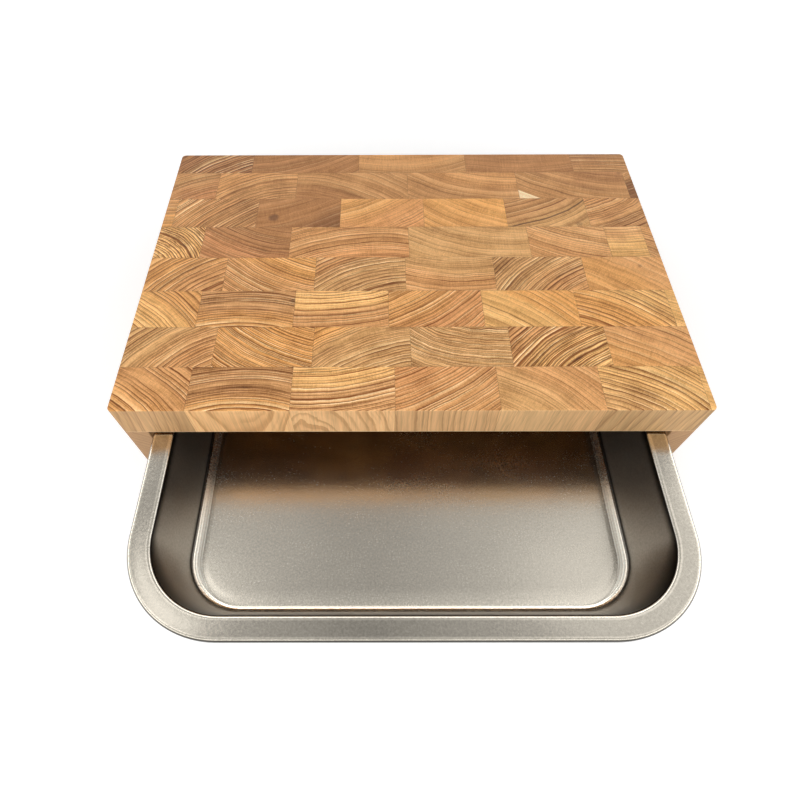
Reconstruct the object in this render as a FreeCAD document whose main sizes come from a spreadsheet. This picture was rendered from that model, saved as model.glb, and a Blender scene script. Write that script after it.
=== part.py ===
import FreeCAD, Part
import math
import os
import re
import Sketcher
from FreeCAD import Placement, Rotation, Vector

# An end-grain cutting board on a low carcass, with a deep-drawn steel tray that slides under it.
# X runs across the board, the front is at -Y, and +Z is up.  The origin is on the table, in the
# middle of the footprint of the board and the drawn-out tray together.

SIZES = (
    # the glued-up board and its blocks
    ("board_width", 450),
    ("board_depth", 310),
    ("board_thickness", 31),
    ("corner_radius", 4),        # upright corners of the board and the side panels
    ("edge_bevel", 1),           # round the work surface
    ("strip_depth", 40),         # one row of blocks, front to back
    ("short_block", 77.5),
    ("long_block", 107),
    ("offcut_block", 71),        # the longer half of the cut block in row 5
    ("offcut_end", 35),          # the shorter half
    ("least_offcut", 3),         # a thinner remainder stays on the block beside it
    ("row_1_start", 57.5),       # the first block of each row, from the left edge
    ("row_2_start", 71),
    ("row_3_start", 52.5),
    ("row_4_start", 68),
    ("row_5_start", 43.5),
    ("row_6_start", 10),
    ("row_7_start", 44),
    ("row_8_start", 74),
    # the carcass under it
    ("side_thickness", 20),
    ("side_height", 60),
    ("back_thickness", 20),
    ("back_housing", 6),         # how far the back panel is let into the side panels
    ("runner_width", 16),
    ("runner_height", 20),
    ("runner_setback", 4),       # from the front face to the runner's front end
    ("runner_lead", 3),          # bevel that leads the tray onto the runner
    # the tray
    ("tray_gap", 3),             # from the rim to the side panel, each side
    ("tray_headroom", 2),        # from the board down to the rim
    ("tray_ride", 0.3),          # from the hem down to the runner
    ("tray_length", 300),
    ("tray_depth", 54),
    ("tray_drawn_out", 154.5),
    ("tray_sheet", 0.8),
    ("rim_width", 16.3),
    ("rim_radius", 72),
    ("hem_height", 4.5),
    ("hem_radius", 2.2),
    ("hem_bevel", 0.8),          # inside the roll of the hem
    ("bend_radius", 2.8),         # on the rim, where it turns down into the wall
    ("bend_bevel", 1.2),         # under that bend
    ("wall_lean", 13.7),         # how far the wall comes in between rim and floor
    ("floor_radius", 42),
    ("wall_foot_radius", 6.5),    # inside, where the wall turns into the floor
    ("wall_foot_bevel", 3.2),    # outside, under that bend
    ("panel_inset", 6.5),        # from the foot of the wall to the raised floor panel
    ("panel_rise", 1.2),
    ("panel_slope", 1),          # how far the panel's edge leans in as it rises
    # loose tongues between the board and the panels
    ("tongue_thickness", 6),
    ("tongue_height", 16),       # half of it in the board, half in the panel
    ("tongue_stop", 14),         # from the ends of a panel to its tongue
    ("tongue_play", 0.5),        # past the ends and the edges of a tongue
    # runner screws
    ("screw_diameter", 4),
    ("screw_length", 30),
    ("screw_head_diameter", 8),
    ("screw_head_height", 2.2),
    ("screw_play", 0.05),        # round a screw's shank
    ("screw_end", 30),           # from the runner's ends to its outer screws
    ("screw_count", 2),
    ("recess_width", 1.2),
    ("recess_length", 4),
    ("recess_depth", 1),
    # feet
    ("foot_diameter", 16),
    ("foot_height", 5),
    ("foot_draft", 0.8),         # how much smaller the foot's radius is on the table
    ("foot_end", 25),            # from the front and the back to the middle of a foot
)

# The blocks that follow the first one in each row; the last one named repeats to the right edge.
ROW_BLOCKS = (
    ("short_block",),
    ("short_block",),
    ("short_block",),
    ("short_block",),
    ("short_block", "long_block", "long_block", "offcut_block", "offcut_end"),
    ("short_block",),
    ("short_block", "long_block"),
    ("long_block",),
)

document = FreeCAD.newDocument("CuttingBoardWithTray")
sheet = document.addObject("Spreadsheet::Sheet", "Sizes")
for line, (size_name, millimetres) in enumerate(SIZES, start=1):
    sheet.set(f"A{line}", size_name)
    sheet.set(f"B{line}", str(millimetres))
    sheet.setAlias(f"B{line}", size_name)
document.recompute()

# Places and sizes that several pieces share, in terms of the sheet.
BOARD_FRONT = "(tray_drawn_out - board_depth) / 2"
BOARD_BACK = f"({BOARD_FRONT} + board_depth)"
BOARD_BOTTOM = "(foot_height + side_height)"
BAY_HALF = "(board_width / 2 - side_thickness)"
SIDE_MIDDLE = "(board_width / 2 - side_thickness / 2)"
BACK_MIDDLE = f"({BOARD_BACK} - back_thickness / 2)"
RUNNER_LENGTH = "(board_depth - back_thickness - runner_setback)"
RIM_TOP = f"({BOARD_BOTTOM} - tray_headroom)"
RUNNER_TOP = f"({RIM_TOP} - hem_height - tray_ride)"
TRAY_WIDTH = f"(2 * {BAY_HALF} - 2 * tray_gap)"

nodes = []


# --- helpers ------------------------------------------------------------------------------------

def from_sheet(text):
    """The expression with each size in it read from the sheet."""
    return re.sub(r"[a-z]+(?:_[a-z0-9]+)+", lambda word: "Sizes." + word.group(), text)


def number(text):
    """What an expression comes to."""
    return float(sheet.evalExpression(from_sheet(text)))


def bind(thing, prop, text):
    """Ties a property of an object to the sheet."""
    thing.setExpression(prop, from_sheet(text))


def place(thing, where):
    """Ties an object's place, given across, along and up, to the sheet."""
    for axis, text in zip("xyz", where):
        bind(thing, f"Placement.Base.{axis}", text)


def node(label, thing):
    """Keeps an object as a finished sub-part, whose label names its file."""
    thing.Label = label
    nodes.append(thing)


def origin_part(body, role):
    return next(part for part in body.Origin.OriginFeatures if part.Role == role)


def new_body(name, where=("0", "0", "0"), turn=0):
    """A body placed from the sheet and turned about Y by a number of degrees."""
    body = document.addObject("PartDesign::Body", name)
    body.Placement = Placement(Vector(0, 0, 0), Rotation(Vector(0, 1, 0), turn))
    place(body, where)
    return body


def feature(body, kind, name, **settings):
    """A PartDesign feature; settings that are text are tied to the sheet."""
    made = body.newObject(f"PartDesign::{kind}", body.Name + name)
    for prop, setting in settings.items():
        if isinstance(setting, str):
            bind(made, prop, setting)
        else:
            setattr(made, prop, setting)
    body.Tip = made
    return made


def spread(body, seeds, repeat):
    """Repeats features along one or two of the body's axes, each given as (axis, length, count)."""
    settings = {"Originals": seeds}
    for suffix, (axis, length, count) in zip(("", "2"), repeat):
        settings[f"Direction{suffix}"] = (origin_part(body, axis), [""])
        settings[f"Length{suffix}"] = length
        settings[f"Occurrences{suffix}"] = count
    return feature(body, "LinearPattern", "Pattern", **settings)


def cut(name, base, tools):
    """The base with each tool taken out of it."""
    for tool in tools:
        made = document.addObject("Part::Cut", name)
        made.Base = base
        made.Tool = tool
        base = made
    return base


# --- sketches -----------------------------------------------------------------------------------

def sketch_on(body, name, plane, height="0"):
    """An empty sketch on one of the body's own planes, at a height along its normal."""
    sketch = body.newObject("Sketcher::SketchObject", body.Name + name)
    sketch.AttachmentSupport = [(origin_part(body, plane), "")]
    sketch.MapMode = "FlatFace"
    bind(sketch, "AttachmentOffset.Base.z", height)
    return sketch


def dimension(sketch, kind, *items):
    """Adds a dimension whose last item is an expression on the sheet."""
    *places, size = items
    index = sketch.addConstraint(Sketcher.Constraint(kind, *places, number(size)))
    bind(sketch, f"Constraints[{index}]", size)


def relate(sketch, kind, *items):
    sketch.addConstraint(Sketcher.Constraint(kind, *items))


def outline(body, name, plane, corners):
    """A closed sketch through corners that are each dimensioned from both axes, 0 or more."""
    sketch = sketch_on(body, name, plane)
    points = [Vector(number(across), number(up), 0) for across, up in corners]
    for start, end in zip(points, points[1:] + points[:1]):
        sketch.addGeometry(Part.LineSegment(start, end))
    for index, corner in enumerate(corners):
        relate(sketch, "Coincident", index, 2, (index + 1) % len(corners), 1)
        for kind, axis, size in (("DistanceX", -2, corner[0]), ("DistanceY", -1, corner[1])):
            if size == "0":
                relate(sketch, "PointOnObject", index, 1, axis)
            else:
                dimension(sketch, kind, -1, 1, index, 1, size)
    return sketch


def rectangle(body, name, width, length, height="0", radius=None):
    """A rectangle centred on the body's Z axis, with tangent corner arcs if it has a radius."""
    sketch = sketch_on(body, name, "XY_Plane", height)
    reach = Vector(number(width) / 2, number(length) / 2, 0)
    round_off = number(radius) if radius else 0
    corners = ((1, -1), (1, 1), (-1, 1), (-1, -1))
    runs = []
    for quarter, (side_x, side_y) in enumerate(corners):
        centre = Vector(side_x * (reach.x - round_off), side_y * (reach.y - round_off), 0)
        turn = (quarter - 1) * math.pi / 2
        ends = [centre + round_off * Vector(math.cos(angle), math.sin(angle), 0)
                for angle in (turn, turn + math.pi / 2)]
        runs.append((centre, turn, *ends))
    for quarter, (_, _, _, leave) in enumerate(runs):
        enter = runs[(quarter + 1) % 4][2]
        sketch.addGeometry(Part.LineSegment(leave, enter))
    right, back, left, front = 0, 1, 2, 3
    for quarter, (centre, turn, _, _) in enumerate(runs):
        before, after = (quarter - 1) % 4, quarter
        if not radius:
            relate(sketch, "Coincident", before, 2, after, 1)
            continue
        circle = Part.Circle(centre, Vector(0, 0, 1), round_off)
        arc = sketch.addGeometry(Part.ArcOfCircle(circle, turn, turn + math.pi / 2))
        relate(sketch, "Tangent", before, 2, arc, 1)
        relate(sketch, "Tangent", arc, 2, after, 1)
        if quarter:
            relate(sketch, "Equal", 4, arc)
    relate(sketch, "Vertical", right)
    relate(sketch, "Horizontal", back)
    relate(sketch, "Symmetric", left, 1, left, 2, -1)
    relate(sketch, "Symmetric", front, 1, front, 2, -2)
    if radius:
        dimension(sketch, "Radius", 4, radius)
    dimension(sketch, "DistanceX", left, 1, right, 1, width)
    dimension(sketch, "DistanceY", front, 1, back, 1, length)
    return sketch


# --- picking edges ------------------------------------------------------------------------------

def edges_where(made, test):
    """The names of the edges of a feature whose bounding box passes the test."""
    document.recompute()
    return [f"Edge{index}" for index, edge in enumerate(made.Shape.Edges, start=1)
            if test(edge.BoundBox)]


def ring(made, height, half_width, half_length):
    """The level ring of edges at a height that reaches just this far from the middle."""
    level, reach_x, reach_y = number(height), number(half_width), number(half_length)

    def on_ring(bounds):
        near_x = abs(max(abs(bounds.XMin), abs(bounds.XMax)) - reach_x) < 0.01
        near_y = abs(max(abs(bounds.YMin), abs(bounds.YMax)) - reach_y) < 0.01
        is_level = abs(bounds.ZMin - level) < 0.01 and abs(bounds.ZMax - level) < 0.01
        return is_level and (near_x or near_y)

    return edges_where(made, on_ring)


# --- boxes and turned pieces --------------------------------------------------------------------

def box(name, middle, size):
    """A box given by its middle and by its size across, along and up."""
    made = document.addObject("Part::Box", name)
    place(made, [f"{centre} - ({extent}) / 2" for centre, extent in zip(middle, size)])
    for prop, extent in zip(("Length", "Width", "Height"), size):
        bind(made, prop, extent)
    return made


def turned(name, half, where, turn=0):
    """A body turned about its Z axis from half of its section, and the feature that made it."""
    body = new_body(name, where, turn)
    section = outline(body, "Half", "XZ_Plane", half)
    made = feature(body, "Revolution", "Turned", Profile=section, Angle=360.0,
                   ReferenceAxis=(section, ["V_Axis"]))
    return body, made


def cross_recess(body, height):
    """The two slots of a driver recess, sunk upward into a screw's head from the height."""
    slots = []
    for name, width, length in (("Across", "recess_length", "recess_width"),
                                ("Along", "recess_width", "recess_length")):
        slot = rectangle(body, f"{name}Slot", width, length, height)
        slots.append(feature(body, "Pocket", name, Profile=slot, Length="recess_depth",
                             Reversed=True))
    return slots


# --- tongues ------------------------------------------------------------------------------------

def tongue(label, middle, size):
    """A loose tongue as a node, and the box that cuts its two grooves."""
    name = label.title().replace("_", "")
    node(label, box(name, middle, size))
    groove = [extent if extent == "tongue_thickness" else f"{extent} + 2 * tongue_play"
              for extent in size]
    return box(f"{name}Grooves", middle, groove)


groove = {}
for hand, sign in (("left", "-"), ("right", "")):
    groove[hand] = tongue(f"{hand}_side_tongue",
                          (f"{sign}{SIDE_MIDDLE}", f"{BOARD_FRONT} + board_depth / 2", BOARD_BOTTOM),
                          ("tongue_thickness", "board_depth - 2 * tongue_stop", "tongue_height"))
groove["back"] = tongue("back_tongue", ("0", BACK_MIDDLE, BOARD_BOTTOM),
                        (f"2 * {BAY_HALF} - 2 * tongue_stop", "tongue_thickness", "tongue_height"))

# --- screws of the runners ----------------------------------------------------------------------

RUNNER_SCREW_REPEAT = (("Y_Axis", f"{RUNNER_LENGTH} - 2 * screw_end", "screw_count"),)
SCREW_HOLE = "(screw_diameter / 2 + screw_play)"
HEAD_TAPER = "(screw_head_height / (screw_head_diameter - screw_diameter) * 2)"
SCREW_HALF = (("0", "0"), ("screw_head_diameter / 2", "0"),
              ("screw_diameter / 2", "screw_head_height"),
              ("screw_diameter / 2", "screw_length - screw_diameter"), ("0", "screw_length"))
SCREW_DRILL_HALF = (("0", "0"), ("screw_head_diameter / 2", "0"),
                    (SCREW_HOLE, f"(screw_head_diameter / 2 - {SCREW_HOLE}) * {HEAD_TAPER}"),
                    (SCREW_HOLE, "screw_length"), ("0", "screw_length"))
screw_drill = {}
for hand, sign, turn in (("left", "-", -90), ("right", "", 90)):
    where = (f"{sign}({BAY_HALF} - runner_width)", f"{BOARD_FRONT} + runner_setback + screw_end",
             f"{RUNNER_TOP} - runner_height / 2")
    screws, shank = turned(f"{hand.title()}Screws", SCREW_HALF, where, turn)
    spread(screws, [shank] + cross_recess(screws, "0"), RUNNER_SCREW_REPEAT)
    node(f"{hand}_runner_screws", screws)
    screw_drill[hand], hole = turned(f"{hand.title()}ScrewDrill", SCREW_DRILL_HALF, where, turn)
    spread(screw_drill[hand], [hole], RUNNER_SCREW_REPEAT)

# --- feet ---------------------------------------------------------------------------------------

FOOT_HALF = (("0", "0"), ("foot_diameter / 2 - foot_draft", "0"),
             ("foot_diameter / 2", "foot_height"), ("0", "foot_height"))
feet, foot = turned("Feet", FOOT_HALF, (f"-{SIDE_MIDDLE}", f"{BOARD_FRONT} + foot_end", "0"))
spread(feet, [foot], (("X_Axis", f"2 * {SIDE_MIDDLE}", 2),
                      ("Y_Axis", "board_depth - 2 * foot_end", 2)))
node("feet", feet)

# --- side panels, back panel and runners --------------------------------------------------------

# The back panel is let into a rebate at the rear end of each side panel.
PANEL_MIDDLE = "(foot_height + side_height / 2)"
back = box("Back", ("0", BACK_MIDDLE, PANEL_MIDDLE),
           (f"2 * {BAY_HALF} + 2 * back_housing", "back_thickness", "side_height"))
node("back_panel", cut("BackGrooved", back, (groove["back"],)))

for hand, sign in (("left", "-"), ("right", "")):
    side = new_body(f"{hand.title()}Side", (f"{sign}board_width / 2", BOARD_FRONT, "foot_height"))
    blank = feature(side, "AdditiveBox", "Blank", Length="side_thickness", Width="board_depth",
                    Height="side_height")
    if hand == "right":
        bind(blank, "Placement.Base.x", "-side_thickness")
    uprights = edges_where(blank, lambda bounds: bounds.ZLength > 1 and abs(bounds.XMin) < 0.01)
    feature(side, "Fillet", "Corners", Base=(blank, uprights), Radius="corner_radius")
    node(f"{hand}_side_panel", cut(f"{hand.title()}SideWorked", side,
                                   (groove[hand], back, screw_drill[hand])))

    inner = f"-{BAY_HALF}" if hand == "left" else f"{BAY_HALF} - runner_width"
    runner = new_body(f"{hand.title()}Runner",
                      (inner, f"{BOARD_FRONT} + runner_setback", f"{RUNNER_TOP} - runner_height"))
    profile = outline(runner, "Profile", "YZ_Plane", (
        ("0", "0"), (RUNNER_LENGTH, "0"), (RUNNER_LENGTH, "runner_height"),
        ("runner_lead", "runner_height"), ("0", "runner_height - runner_lead")))
    feature(runner, "Pad", "Batten", Profile=profile, Length="runner_width")
    node(f"{hand}_runner", cut(f"{hand.title()}RunnerDrilled", runner, (screw_drill[hand],)))

# --- the board ----------------------------------------------------------------------------------

def row_cuts(row):
    """Where each block of a row starts, from the board's left edge, and its length."""
    start, length = "0", f"row_{row % len(ROW_BLOCKS) + 1}_start"
    kinds = ROW_BLOCKS[row % len(ROW_BLOCKS)]
    blocks = []
    while number(f"board_width - ({start} + {length})") > number("least_offcut"):
        blocks.append((start, length))
        start = f"{start} + {length}"
        length = kinds[min(len(blocks), len(kinds)) - 1]
    blocks.append((start, f"board_width - ({start})"))
    return blocks


slab = new_body("Slab", ("0", f"{BOARD_FRONT} + board_depth / 2", BOARD_BOTTOM))
slab_outline = rectangle(slab, "Outline", "board_width", "board_depth", radius="corner_radius")
slab_pad = feature(slab, "Pad", "Pad", Profile=slab_outline, Length="board_thickness")
top_edges = ring(slab_pad, "board_thickness", "board_width / 2", "board_depth / 2")
feature(slab, "Chamfer", "Bevel", Base=(slab_pad, top_edges), Size="edge_bevel")
glued_board = cut("GluedBoard", slab, groove.values())

row_count = math.ceil(number("(board_depth - least_offcut) / strip_depth"))
for row in range(row_count):
    row_front = f"{BOARD_FRONT} + {row} * strip_depth"
    last_row = row == row_count - 1
    row_depth = f"board_depth - {row} * strip_depth" if last_row else "strip_depth"
    blocks = []
    for start, length in row_cuts(row):
        block_space = document.addObject("Part::Box", f"Row{row + 1}Space")
        place(block_space, (f"{start} - board_width / 2", row_front, BOARD_BOTTOM))
        bind(block_space, "Length", length)
        bind(block_space, "Width", row_depth)
        bind(block_space, "Height", "board_thickness")
        block = document.addObject("Part::Common", f"Row{row + 1}Block")
        block.Base = glued_board
        block.Tool = block_space
        blocks.append(block)
    glued_row = document.addObject("Part::Compound", f"Row{row + 1}")
    glued_row.Links = blocks
    node(f"board_row_{row + 1}", glued_row)

# --- the tray -----------------------------------------------------------------------------------
# Its own origin is in the middle of the rim's upper face.  Every outline is a rounded rectangle,
# given by how far it lies in from the edge of the rim.

tray = new_body("Tray", ("0", f"{BOARD_FRONT} - tray_drawn_out + tray_length / 2", RIM_TOP))
UNDER_RIM = "-tray_sheet"
HEM_BOTTOM = "-hem_height"
FLOOR_UNDERSIDE = "-tray_depth"
FLOOR = "-tray_depth + tray_sheet"
WALL_FOOT = "rim_width + wall_lean"
PANEL_EDGE = f"{WALL_FOOT} + panel_inset"


def inset_outline(name, inset, radius, height):
    return rectangle(tray, name, f"{TRAY_WIDTH} - 2 * ({inset})", f"tray_length - 2 * ({inset})",
                     height, radius)


def inset_ring(made, inset, height):
    return ring(made, height, f"{TRAY_WIDTH} / 2 - ({inset})", f"tray_length / 2 - ({inset})")


def worked(kind, name, made, inset, height, size):
    """Rounds or bevels the ring of edges that lies this far in from the rim's edge, at a height."""
    prop = {"Fillet": "Radius", "Chamfer": "Size"}[kind]
    return feature(tray, kind, name, Base=(made, inset_ring(made, inset, height)), **{prop: size})


# The rim: a slab with its outer edge rolled down, hollowed from below into a hem.
rim = feature(tray, "Pad", "Rim", Profile=inset_outline("RimOutline", "0", "rim_radius", "0"),
              Length="hem_height", Reversed=True)
rim = worked("Fillet", "RimRoll", rim, "0", "0", "hem_radius")
rim = feature(tray, "Pocket", "Hem", Length="hem_height - tray_sheet", Reversed=True,
              Profile=inset_outline("HemInside", "tray_sheet", "rim_radius - tray_sheet",
                                    HEM_BOTTOM))
rim = worked("Chamfer", "HemBevel", rim, "tray_sheet", UNDER_RIM, "hem_bevel")

# The pan: one loft for its outside and one for its hollow, a sheet apart.
outer_top = inset_outline("OuterTop", "rim_width - tray_sheet",
                          "rim_radius - rim_width + tray_sheet", UNDER_RIM)
outer_foot = inset_outline("OuterFoot", f"{WALL_FOOT} - tray_sheet", "floor_radius + tray_sheet",
                           FLOOR_UNDERSIDE)
pan = feature(tray, "AdditiveLoft", "Pan", Profile=outer_top, Sections=[outer_foot], Ruled=True)
mouth = inset_outline("Mouth", "rim_width", "rim_radius - rim_width", "0")
floor_outline = inset_outline("Floor", WALL_FOOT, "floor_radius", FLOOR)
pan = feature(tray, "SubtractiveLoft", "Hollow", Profile=mouth, Sections=[floor_outline],
              Ruled=True)

# The bends, each with its hollow side first: that side adds the metal that the other takes off.
pan = worked("Fillet", "WallFoot", pan, WALL_FOOT, FLOOR, "wall_foot_radius")
pan = worked("Chamfer", "WallFootUnder", pan, f"{WALL_FOOT} - tray_sheet", FLOOR_UNDERSIDE,
             "wall_foot_bevel")
pan = worked("Chamfer", "BendUnder", pan, "rim_width - tray_sheet", UNDER_RIM, "bend_bevel")
pan = worked("Fillet", "Bend", pan, "rim_width", "0", "bend_radius")

# The floor panel, pressed up: a low frustum on the floor, and one a sheet smaller under it.
for name, kind, edge, bottom in (
        ("Panel", "AdditiveLoft", PANEL_EDGE, FLOOR),
        ("PanelUnder", "SubtractiveLoft", f"{PANEL_EDGE} + tray_sheet", FLOOR_UNDERSIDE)):
    radius = f"floor_radius + {WALL_FOOT} - ({edge})"
    low = inset_outline(f"{name}Low", edge, radius, bottom)
    high = inset_outline(f"{name}High", f"{edge} + panel_slope", f"{radius} - panel_slope",
                         f"{bottom} + panel_rise")
    feature(tray, kind, name, Profile=low, Sections=[high], Ruled=True)
node("tray", tray)

# --- checks and files ---------------------------------------------------------------------------

document.recompute()
for thing in document.Objects:
    if {"Invalid", "Error"} & set(thing.State):
        raise RuntimeError(f"{thing.Name} did not compute: {thing.State}")
os.makedirs("parts", exist_ok=True)
for thing in nodes:
    shape = thing.Shape
    if shape.isNull() or not shape.isValid() or not shape.Solids:
        raise RuntimeError(f"{thing.Label} has no valid solid")
for thing in nodes:
    thing.Shape.exportStep(f"parts/{thing.Label}.step")
    print(f"{thing.Label}: {len(thing.Shape.Solids)} solids, {thing.Shape.Volume:.0f} mm3")
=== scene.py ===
import math
from types import SimpleNamespace

import bpy
import numpy as np
from mathutils import Matrix, Vector


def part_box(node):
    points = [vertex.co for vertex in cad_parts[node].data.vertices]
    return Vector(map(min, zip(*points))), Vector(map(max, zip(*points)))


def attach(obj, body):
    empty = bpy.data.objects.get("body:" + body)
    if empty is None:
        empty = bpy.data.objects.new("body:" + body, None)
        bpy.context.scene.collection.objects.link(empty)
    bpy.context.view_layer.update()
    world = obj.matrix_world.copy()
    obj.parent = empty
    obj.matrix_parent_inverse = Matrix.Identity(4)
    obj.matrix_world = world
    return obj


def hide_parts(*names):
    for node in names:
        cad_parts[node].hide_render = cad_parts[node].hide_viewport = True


bl_info = {
    "name": "Cutting Board With Tray",
    "version": (1, 0, 0),
    "blender": (4, 5, 0),
    "location": "View3D > Sidebar > Cutting Board",
    "description": "Dresses an end-grain cutting board, its carcass and its deep-drawn steel tray",
    "category": "Object",
}

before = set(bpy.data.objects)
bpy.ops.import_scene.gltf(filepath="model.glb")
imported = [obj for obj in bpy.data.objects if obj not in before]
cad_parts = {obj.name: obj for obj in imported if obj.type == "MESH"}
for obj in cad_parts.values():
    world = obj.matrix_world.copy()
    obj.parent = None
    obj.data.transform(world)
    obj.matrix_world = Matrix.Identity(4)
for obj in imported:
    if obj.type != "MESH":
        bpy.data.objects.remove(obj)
MM = 0.001
TINY = 1e-12


# --- the board's blocks ------------

# The rows of blocks, the front one first.  A block, from left to right, is where it ends, its tone
# and second tone, how far to the right and to the back of its middle its pith lies, ring spacing,
# strength, how far from the pith the second tone begins and over how far, and wander.  Lengths
# are in millimetres.  The rear rows have darker tones, partly the wood's own and partly painted
# shade where the light falls off towards the back.
ROWS = (
    ((57.5, "honey", "tan", -111, -142, 4.6, 0.80, 170, 30, 0.5),
     (135, "honey", "dusk", 3, -132, 3.4, 0.95, 124, 12, 0.35),
     (213, "light", "pink", -30, 190, 3.6, 1.10, 192, 6, 0.45),
     (291, "orange", "tan", -105, 173, 2.9, 0.85, 200, 30, 0.5),
     (369, "olive", "tan", -92, -118, 3.2, 0.30, 150, 30, 0.5),
     (445, "olive", "straw", -72, -121, 4.4, 0.95, 128, 30, 0.5),
     (450, "light", "straw", -60, -150, 3.0, 0.35, 150, 30, 0.4)),
    ((71, "tan", "olive", 84, -100, 3.5, 0.85, 130, 25, 0.6),
     (149, "gold", "honey", 75, 130, 2.1, 1.10, 160, 30, 0.4),
     (226, "olive", "gold", 50, -109, 3.3, 0.80, 140, 14, 0.7),
     (305, "olive", "olive", 31, 116, 1.8, 1.10, 120, 20, 1.2),
     (382, "straw", "tan", 92, -118, 2.9, 1.85, 160, 40, 0.5),
     (450, "honey", "tan", -100, -173, 6.5, 0.38, 190, 30, 0.7)),
    ((52, "light", "honey", -114, -126, 4.2, 0.80, 170, 30, 0.5),
     (131, "honey", "dusk", -4, -140, 3.6, 1.05, 138, 14, 0.35),
     (209, "light", "tan", -22, 200, 4.4, 0.75, 203, 6, 0.6),
     (287, "honey", "orange", -110, 150, 3.2, 0.76, 185, 25, 0.5),
     (365, "straw", "gold", -100, -130, 6.0, 0.34, 165, 30, 0.5),
     (442, "gold", "straw", -75, -115, 5.0, 0.76, 145, 25, 0.5),
     (450, "light", "straw", -60, -150, 3.0, 0.33, 150, 30, 0.4)),
    ((68, "tan", "honey", 84, -100, 4.6, 0.95, 130, 25, 0.6),
     (146, "gold", "tan", 80, 140, 2.5, 0.81, 160, 30, 0.5),
     (224, "olive", "tan", 45, -105, 4.2, 1.00, 130, 20, 0.6),
     (301, "olive", "tan", 10, 140, 3.4, 0.47, 142, 14, 0.7),
     (379, "tan", "olive", 95, -110, 2.8, 1.09, 140, 30, 0.5),
     (450, "honey", "tan", -110, -150, 7.0, 0.26, 190, 30, 0.8)),
    ((42, "light", "straw", -40, -42, 2.6, 1.80, 58, 10, 0.5),
     (121, "brown", "rust", 60, 135, 3.2, 0.51, 150, 16, 0.6),
     (228, "orange", "tan", 25, -150, 3.4, 0.59, 146, 8, 0.5),
     (336, "olive", "olive", 40, 150, 5.0, 0.26, 158, 25, 0.6),
     (407, "pink", "tan", 60, 150, 2.8, 0.51, 165, 30, 0.6),
     (441, "pink", "straw", -10, 220, 3.6, 0.51, 220, 20, 0.4),
     (450, "dusk", "tan", -30, -60, 3.0, 0.59, 70, 20, 0.5)),
    ((10, "tan", "honey", -5, 220, 3.0, 0.65, 220, 20, 0.4),
     (87, "dusk", "tan", 127, -127, 2.9, 0.95, 180, 40, 0.5),
     (165, "brown", "umber", -70, 170, 7.0, 0.20, 200, 25, 0.8),
     (243, "honey", "orange", -90, 150, 4.6, 0.30, 175, 25, 0.5),
     (320, "gold", "honey", 80, 140, 6.5, 0.22, 160, 25, 0.5),
     (396, "dusk", "olive", -65, 130, 7.5, 0.42, 148, 20, 0.5),
     (450, "tan", "dusk", -70, 120, 3.6, 0.83, 140, 30, 0.9)),
    ((44, "rust", "dusk", 60, -130, 4.4, 0.42, 140, 25, 0.5),
     (121, "dusk", "tan", 35, -85, 4.2, 0.56, 92, 14, 0.5),
     (229, "brown", "dusk", -60, -130, 5.8, 0.28, 130, 25, 0.7),
     (336, "tan", "dusk", 50, 150, 7.0, 0.28, 160, 25, 0.5),
     (442, "brown", "dusk", 60, 160, 7.5, 0.26, 160, 30, 0.6),
     (450, "dusk", "umber", -30, 60, 4.0, 0.35, 60, 8, 0.4)),
    ((74, "rust", "brown", 90, -110, 4.2, 1.15, 120, 40, 0.6),
     (181, "brown", "brown", -60, 140, 6.5, 0.26, 150, 25, 0.5),
     (288, "tan", "dusk", -20, 160, 6.0, 0.16, 165, 25, 0.5),
     (395, "brown", "brown", 0, 220, 5.5, 0.16, 220, 25, 0.7),
     (450, "dusk", "brown", -10, -250, 3.6, 0.60, 250, 20, 0.6)),
)

# knots and dark marks: row and block, place from the block's middle, radius, how dark
MARKS = {(6, 3): ((-23, -7), 6.0, 0.75), (3, 2): ((38, 9), 4.0, 0.6),
         (8, 1): ((38, -6), 17.0, 0.42), (4, 6): ((14, 9), 3.0, 0.45),
         (6, 6): ((28, -17), 3.5, 0.4), (7, 5): ((50, 18), 3.0, 0.4)}
# a pale wedge of sapwood in a block's near left corner: row and block, width and depth
WEDGES = {(7, 5): (20, 13)}
# a fine crack along a ring: row and block, distance from the pith in metres and how dark
CRACKS = {(6, 6): (0.1525, 0.85)}
# what the other blocks have in their place: too small or too far away to see
NO_MARK, NO_WEDGE, NO_CRACK = ((0, 0), 0.001, 0), (0.001, 0.001), (9, 0)

# how bright some blocks are on their long-grain sides: row and block
SIDES = {(1, 1): 0.80, (1, 2): 1.24, (1, 3): 1.22, (1, 6): 0.80, (1, 7): 0.56}

# sRGB tones of oiled end grain
TONES = {
    "light": (0.98, 0.75, 0.47), "straw": (0.92, 0.70, 0.43), "gold": (0.92, 0.66, 0.38),
    "honey": (0.89, 0.64, 0.38), "pink": (0.89, 0.66, 0.43), "orange": (0.88, 0.62, 0.39),
    "tan": (0.86, 0.62, 0.39), "olive": (0.85, 0.64, 0.41), "rust": (0.80, 0.55, 0.35),
    "dusk": (0.79, 0.57, 0.36), "brown": (0.72, 0.50, 0.31), "umber": (0.55, 0.36, 0.21),
}


def linear(tone):
    """An sRGB tone as scene-linear red, green and blue."""
    values = np.asarray(tone, float)
    return np.where(values <= 0.04045, values / 12.92, ((values + 0.055) / 1.055) ** 2.4)


# --- meshes ------------

def new_object(name, data):
    """An object of the scene, at the origin."""
    made = bpy.data.objects.new(name, data)
    bpy.context.scene.collection.objects.link(made)
    return made


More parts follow.
